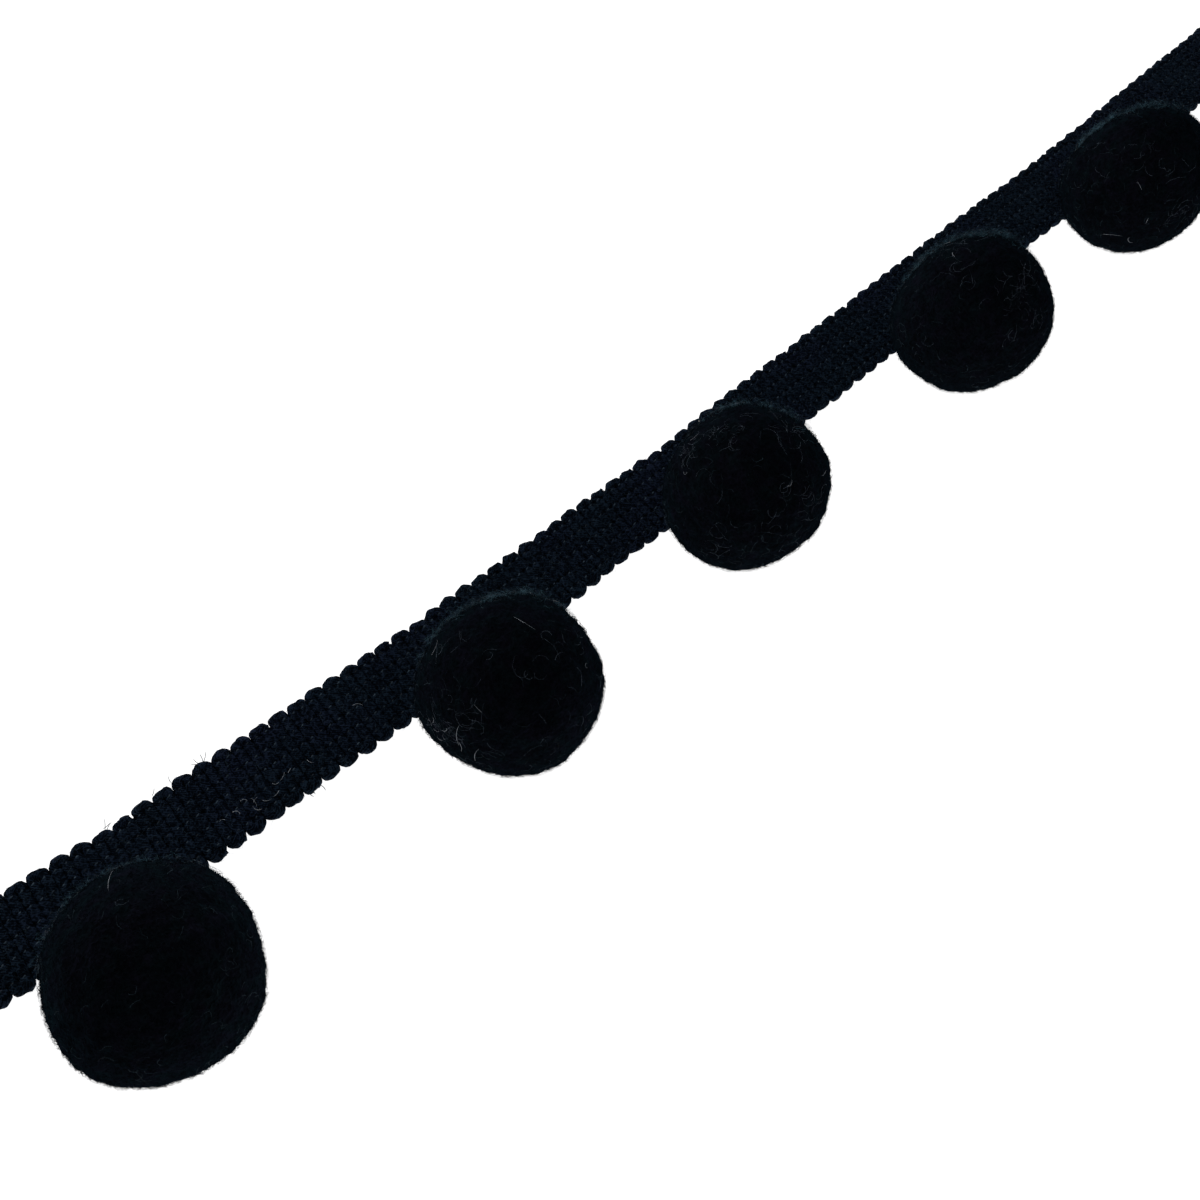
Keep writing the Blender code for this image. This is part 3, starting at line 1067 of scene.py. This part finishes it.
def hair_recipe(name, material):
    """Three-sided tubes that lie in arcs with a crimp."""
    sizes = {
        "Density": 0.40e6, "Curls": 0.0, "Length": 2.4 * MM, "Radius": 0.016 * MM, "Steps": 7,
        "Bend": 3.5, "Root": 0.0, "Rise": 0.3, "Swirl": 0.0, "Crimp": 1.3 * MM, "Curl Size": 0.8 * MM,
        "Middle": (0.0, 0.0, 0.0), "Hug": 0.0, "Seed": 0, **EVERYWHERE,
    }
    bench, given = start_recipe(name, sizes)
    hairs = bench.add("GeometryNodeInstanceOnPoints", {}, {
        "Points": hair_roots(bench, given), "Instance": straight(bench, given["Steps"])})
    hairs = bench.add("GeometryNodeRealizeInstances", {}, {"Geometry": hairs})
    hairs, taper = bent_hairs(bench, given, hairs)
    tubes = sweep(bench, hairs, circle(bench, HAIR_SIDES, given["Radius"]), taper)
    return close_recipe(bench, tubes, material)


# %% Where each pompom is rubbed by the tape: middle, reach, and the axis the band is square to
RUBBED_ARCS = (
    (85, 14, 50, -66, 74), (67, 29, 60, -125, 60), (43, 36, 50, -148, 54), (65, 41, 58, -160, 39),
    (75, 40, 50, -165, 31),
)
CURL_ROOT = 0.40 * MM
RUBBED_DENSITY = (1.7e6, 2.3e6, 1.9e6, 3.2e6, 3.2e6)
LOOSE_DENSITY = (0.25e6, 0.24e6, 0.24e6, 0.18e6, 0.18e6)
CURL_DENSITY = 0.65e6
print("reach of each rubbed band in degrees:", [arc[2] for arc in RUBBED_ARCS])

# %% Grow the five pompoms
ball_tree = ball_recipe()
pile_tree = nap_recipe("pile", pile, True)
fringe_tree = nap_recipe("fringe", rubbed_backlit_hair, False)
hair_tree = hair_recipe("hairs", hair)
rubbed_tree = hair_recipe("rubbed", rubbed_backlit_hair)
curl_tree = hair_recipe("curls", pale_curl)
pompoms = {}
ball_sizes = []
for number, node in enumerate(BALLS, start=1):
    low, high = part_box(node)
    radius = (high.z + FLAT_SPOT) / 2
    middle = Vector(((low.x + high.x) / 2, (low.y + high.y) / 2, high.z - radius))
    core = run_recipe(f"core_{number}", ball_tree, route_mesh, {
        "Middle": middle, "Radius": radius - NAP_DEPTH, "Seed": number * 1.0})
    shape_core(core.data, number, middle)
    dense = run_recipe(f"{node}_pile", pile_tree, core.data, {"Middle": middle, "Seed": number})
    arc = rubbed_arc(*RUBBED_ARCS[number - 1])
    fringe = run_recipe(f"{node}_fringe", fringe_tree, core.data, {
        "Middle": middle, "Gap": 0.30 * MM, "Length": 1.3 * MM, "Width": 0.016 * MM, "Rise": 1.2,
        "Swirl": 2.0, "Pull": 1.6 * MM, "Curl Size": 1.0 * MM, "Seed": number + 20, **arc})
    held = {"Middle": middle, "Root": NAP_DEPTH}
    loose = run_recipe(f"{node}_hairs", hair_tree, core.data, {
        **held, "Hug": 0.85, "Density": LOOSE_DENSITY[number - 1], "Seed": number + 10, **LOW_SIDE})
    rubbed = run_recipe(f"{node}_rubbed", rubbed_tree, core.data, {
        **held, "Hug": 0.2, "Density": RUBBED_DENSITY[number - 1], "Length": 2.2 * MM, "Bend": 5.0,
        "Rise": 0.5, "Radius": 0.016 * MM, "Seed": number + 40, **arc})
    curls = run_recipe(f"{node}_curls", curl_tree, core.data, {
        **held, "Root": CURL_ROOT, "Hug": 0.8, "Density": 0.0, "Curls": CURL_DENSITY, "Length": 3.2 * MM,
        "Bend": 3.4, "Crimp": 0.7 * MM, "Steps": 11, "Radius": 0.011 * MM, "Seed": number + 60})
    bpy.data.objects.remove(core)
    pompoms[node] = [dense, fringe, loose, rubbed, curls]
    ball_sizes.append((middle, radius))
    print(node, "radius", round(radius / MM, 2), "middle", [round(c / MM, 2) for c in middle])

# %% [markdown]
# ## Loose hairs on the tape
#
# The tape's yarn is spun, so short crimped hairs lie on it everywhere. They soften the grooves
# between its ribs, which a clean yarn would show as dark lines.

# %% Hairs of the tape
tape_hairs = [
    run_recipe(f"tape_hairs_{number}", hair_tree, weft.data, {
        "Density": 0.95e6, "Length": 1.5 * MM, "Steps": 5, "Rise": 0.22, "Crimp": 0.8 * MM,
        "Radius": 0.015 * MM, "Seed": number + 30, **HIGH_SIDE})
    for number, weft in enumerate(wefts, start=1)
]

# %% [markdown]
# ## Lint
#
# Dark trim shows every pale fibre that has settled on it. A few dozen random ones would look
# like noise, so each is placed one by one: where it starts on the tape, the straight line from end
# to end and its heading, and how far it bends on the way. The dark hairs that have frayed out of
# the tape's edges are laid in the same way, and show against the board. The pompoms' own lint is
# placed by two angles on the ball.

# %% Bend a fibre through the air
LINT_STEPS = 8
LINT_HEIGHT = 1.72 * MM
LINT_RADIUS = 0.027 * MM


def bent_line(start, ahead, side, chord, heading, bend):
    """Points from the start along a flat arc. Heading and bend are in degrees."""
    turn = math.radians(bend)
    points = [start.copy()]
    for step in range(LINT_STEPS):
        angle = math.radians(heading) + turn * ((step + 0.5) / LINT_STEPS - 0.5)
        stride = ahead * math.cos(angle) + side * math.sin(angle)
        points.append(points[-1] + stride * (chord / LINT_STEPS))
    return points


def route_spot(along):
    """The point at this length along the route, and the way ahead there."""
    for start, end in zip(route, route[1:]):
        span = (end - start).length
        if along <= span:
            return start.lerp(end, along / span), (end - start).normalized()
        along -= span
    return route[-1], (route[-1] - route[-2]).normalized()


def fibre_recipe(name, material):
    """A tube on each line of the guide, thinner at both its ends."""
    bench, given = start_recipe(name, {"Radius": LINT_RADIUS})
    share = bench.add("GeometryNodeSplineParameter", output="Factor")
    taper = 1.0 - (share * 2.0 - 1.0) ** 4.0 * 0.6
    ring = circle(bench, LINT_SIDES, given["Radius"])
    tubes = sweep(bench, as_curve(bench, given["Geometry"]), ring, taper)
    return close_recipe(bench, tubes, material)


def lay_lint(name, lines, radius, tree):
    """One mesh from several lines of points."""
    guide = bpy.data.meshes.new(name)
    points = [point for line in lines for point in line]
    size = len(lines[0])
    edges = [(i, i + 1) for i in range(len(points) - 1) if (i + 1) % size]
    guide.from_pydata(points, edges, [])
    return run_recipe(name, tree, guide, {"Radius": radius})


lint_tree = fibre_recipe("lint", lint)
fray_tree = fibre_recipe("fray", hair)

# %% Lint on the tape: along, across, end to end (mm), heading, bend (degrees)
TAPE_LINT = (
    (46.5, -2.6, 0.9, -21, -100), (48.5, -2.6, 1.4, -50, -130), (50.2, -1.9, 1.1, -31, -110),
    (51.6, -2.4, 2.0, -98, -60), (51.2, -3.5, 1.6, -54, 110), (52.4, -2.8, 1.0, -156, 60),
    (52.6, -3.5, 1.5, -30, 80), (54.0, -4.1, 1.2, 14, 50), (55.0, -2.3, 1.1, -30, 110),
    (56.1, -2.7, 1.4, 34, 40), (57.5, -2.4, 0.8, 27, 0), (60.6, -2.4, 1.1, -62, 60),
    (70.1, 0.5, 1.7, -38, -90), (78.2, -2.8, 1.3, -61, -60),
)


def tape_line(height, along, across, chord, heading, bend):
    spot, ahead = route_spot(along * MM)
    side = UP.cross(ahead).normalized()
    start = spot + side * (across * MM) + ahead.cross(side) * height
    return bent_line(start, ahead, side, chord * MM, heading, bend)


tape_lint = lay_lint("tape_lint", [tape_line(LINT_HEIGHT, *row) for row in TAPE_LINT], LINT_RADIUS, lint_tree)

# %% Hairs that have frayed out of the tape's edges, in the same numbers
FRAY_HEIGHT = 1.0 * MM
FRAY_RADIUS = 0.048 * MM
FRAYED = (
    (48.9, 6.1, 2.1, 45, 30), (48.9, 6.3, 1.5, 105, -40), (49.2, 6.1, 1.7, 78, 20),
    (48.6, 6.2, 1.3, 130, 60), (33.9, 5.7, 2.0, 62, 15), (34.1, 5.6, 1.7, 35, -40),
    (34.0, 6.4, 1.2, 10, 50), (41.3, 6.4, 1.3, 45, 40), (44.4, 6.4, 1.2, 80, -50),
    (58.2, -5.8, 1.5, -80, 40), (59.8, -6.0, 1.6, -75, -60), (59.2, -6.0, 1.2, -110, 50),
)
tape_fray = lay_lint("tape_fray", [tape_line(FRAY_HEIGHT, *row) for row in FRAYED], FRAY_RADIUS, fray_tree)

# %% Lint on each pompom: direction and height (degrees), end to end (mm), heading, bend
BALL_LINT_RADIUS = 0.013 * MM
BALL_LINT_RISE = 0.2 * MM
BALL_LINT = {
    1: ((70, 33, 4.8, 88, 15),),
    2: ((39, 71, 3.6, 157, 10), (13, 28, 1.6, 80, 60), (123, 41, 2.4, -6, -80), (178, 17, 1.2, 30, 120),
        (172, 19, 1.2, -30, -130), (-176, 22, 1.3, 60, 110), (175, 24, 1.0, -80, -90),
        (-178, 13, 1.2, 10, 140), (-172, 16, 1.1, 120, -120), (-166, 34, 3.4, -77, 40),
        (-163, 22, 1.8, -70, -70), (-149, 24, 3.0, -98, 50), (-161, 51, 1.4, -20, 20),
        (-45, 38, 1.2, -150, 230)),
    3: ((121, 41, 1.6, 125, 60), (150, 36, 1.2, 60, 220), (-100, 55, 1.4, 20, 120),
        (-60, 40, 1.8, -30, 60)),
    4: ((97, 47, 1.4, 100, -70), (125, 61, 1.2, 20, 60), (-40, 52, 1.3, 80, 130),
        (-30, 44, 1.2, -20, -110)),
    5: ((-140, 12, 1.0, -90, 40), (-165, -14, 3.2, 20, -30), (-146, -8, 2.0, -50, 110),
        (-162, 36, 1.6, -34, 0)),
}


def ball_line(number, direction, height, chord, heading, bend):
    middle, radius = ball_sizes[number - 1]
    out = bearing(direction, height)
    ahead = UP.cross(out).normalized()
    flat = bent_line(middle + out * radius, ahead, out.cross(ahead), chord * MM, heading, bend)
    bulges = spots_on(number, OUT_OF_ROUND)
    ways = [(point - middle).normalized() for point in flat]
    rises = [BALL_LINT_RISE + sum_near(bulges, way, BULGE_TIGHTNESS) * MM for way in ways]
    return [middle + way * (radius + rise) for way, rise in zip(ways, rises)]


for number, node in enumerate(BALLS, start=1):
    lines = [ball_line(number, *row) for row in BALL_LINT[number]]
    pompoms[node].append(lay_lint(f"{node}_lint", lines, BALL_LINT_RADIUS, lint_tree))

# %% [markdown]
# ## Hang every piece from the trim's body
#
# Every piece belongs to the trim itself, which has no moving parts, so each hangs from its one
# body, and the solids of the tape and the pompoms are hidden.

# %% Hang the pieces and hide the solids
on_ground = [*wefts, threads, *tape_hairs, tape_lint, tape_fray]
for piece in (ground, *on_ground):
    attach(piece, "root")
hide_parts("tape")
for node, pieces in pompoms.items():
    for piece in pieces:
        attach(piece, "root")
    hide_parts(node)
everything = [ground, *on_ground, *(piece for pieces in pompoms.values() for piece in pieces)]
print(len(everything), "pieces,", sum(len(piece.data.loop_triangles) for piece in everything), "triangles")
